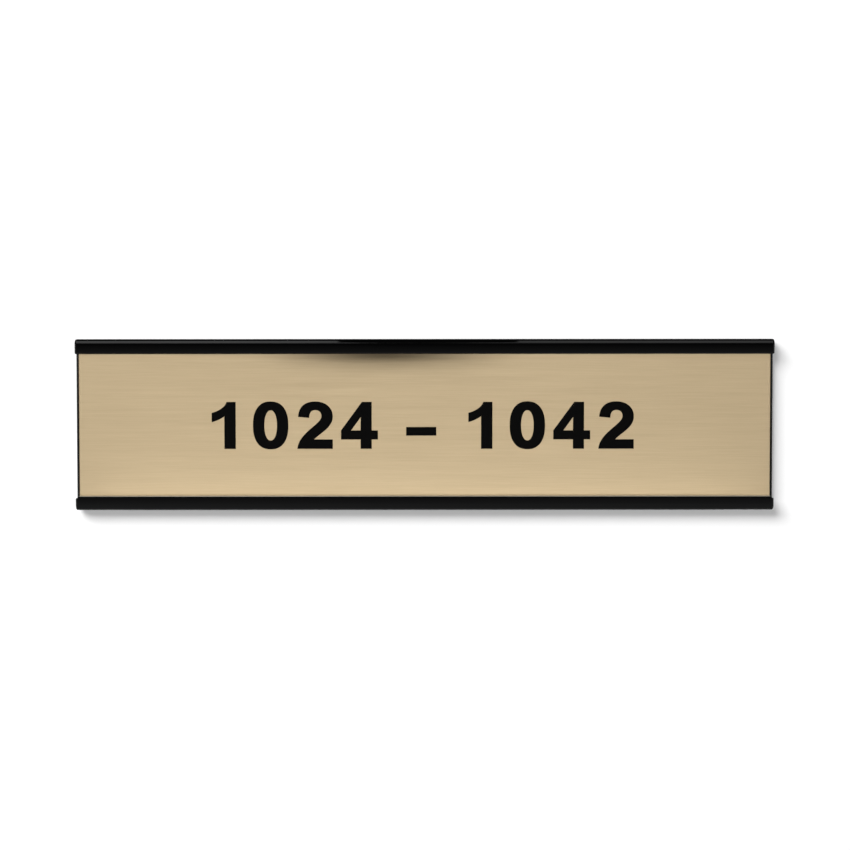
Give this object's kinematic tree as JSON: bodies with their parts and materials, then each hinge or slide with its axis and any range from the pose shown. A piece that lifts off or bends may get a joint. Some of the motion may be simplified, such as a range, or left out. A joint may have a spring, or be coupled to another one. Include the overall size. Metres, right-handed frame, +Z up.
{
  "type": "framed wall sign",
  "caption": "Black extruded wall holder with a rail along the top and bottom edge, open at both ends, and a thin brushed gold plate that slides in its channel, taped to the wall.",
  "frame": {"origin": "on the wall plane, behind the middle of the holder's height and length", "axes": "+X to the right along the length, +Y into the wall, +Z up; the front faces -Y"},
  "size_m": [0.2032, 0.0057, 0.0498],
  "materials": {
    "black_anodised": "satin black anodised extrusion with fine die lines",
    "plate_core": "matt black engraving core",
    "brushed_gold": "fine brushed gold, grain along the length",
    "foam_tape": "white closed cell foam with adhesive faces"
  },
  "bodies": {
    "holder_body": {"holder": "black_anodised", "tape_upper": "foam_tape", "tape_lower": "foam_tape"},
    "insert": {"insert_core": "plate_core", "insert_face": "brushed_gold"}
  },
  "joints": [
    {"name": "insert_slide", "type": "slide", "parent": "holder_body", "child": "insert", "axis": [1, 0, 0], "range_m": [-0.19, 0.19]}
  ]
}
